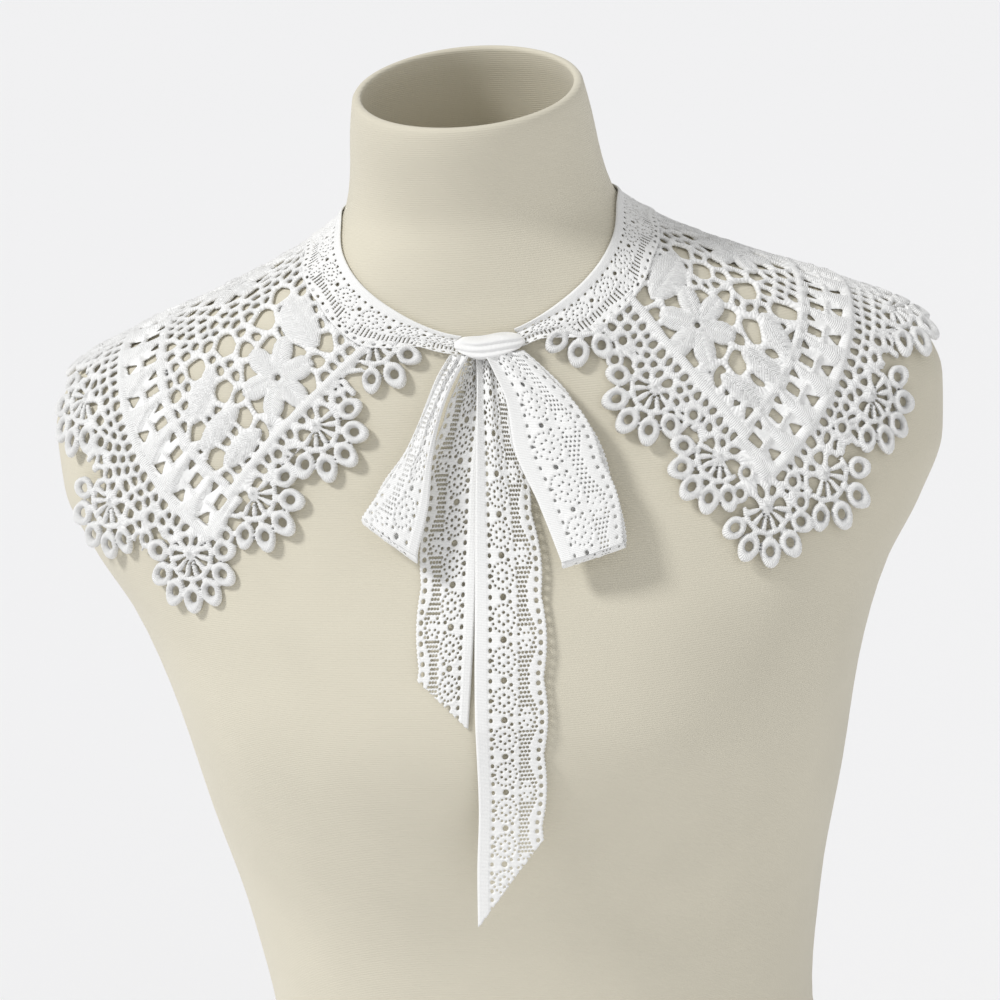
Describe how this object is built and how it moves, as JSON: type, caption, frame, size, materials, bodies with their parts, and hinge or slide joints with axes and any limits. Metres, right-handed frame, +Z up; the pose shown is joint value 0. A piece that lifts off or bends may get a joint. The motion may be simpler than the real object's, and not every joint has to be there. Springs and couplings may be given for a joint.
{
  "type": "lace collar on a dress form",
  "caption": "White guipure lace cape collar with scalloped edges, tied in front with a lace ribbon bow, lying on a limbless cotton-covered dress form",
  "frame": {"origin": "the middle of the dress form's flat base, on the surface it stands on", "axes": "+Z up, -Y the front of the collar with the bow, +X the viewer's right"},
  "size_m": [0.386, 0.2388, 0.6499],
  "materials": {
    "cotton_cover": "matte",
    "guipure_lace": "matte",
    "ribbon_lace": "satin"
  },
  "bodies": {
    "root": {"form_torso": "cotton_cover", "form_neck": "cotton_cover", "collar_left": "guipure_lace", "collar_right": "guipure_lace", "neckband": "ribbon_lace", "knot": "ribbon_lace", "loop_left": "ribbon_lace", "loop_right": "ribbon_lace", "tail_left": "ribbon_lace", "tail_right": "ribbon_lace"}
  },
  "joints": []
}
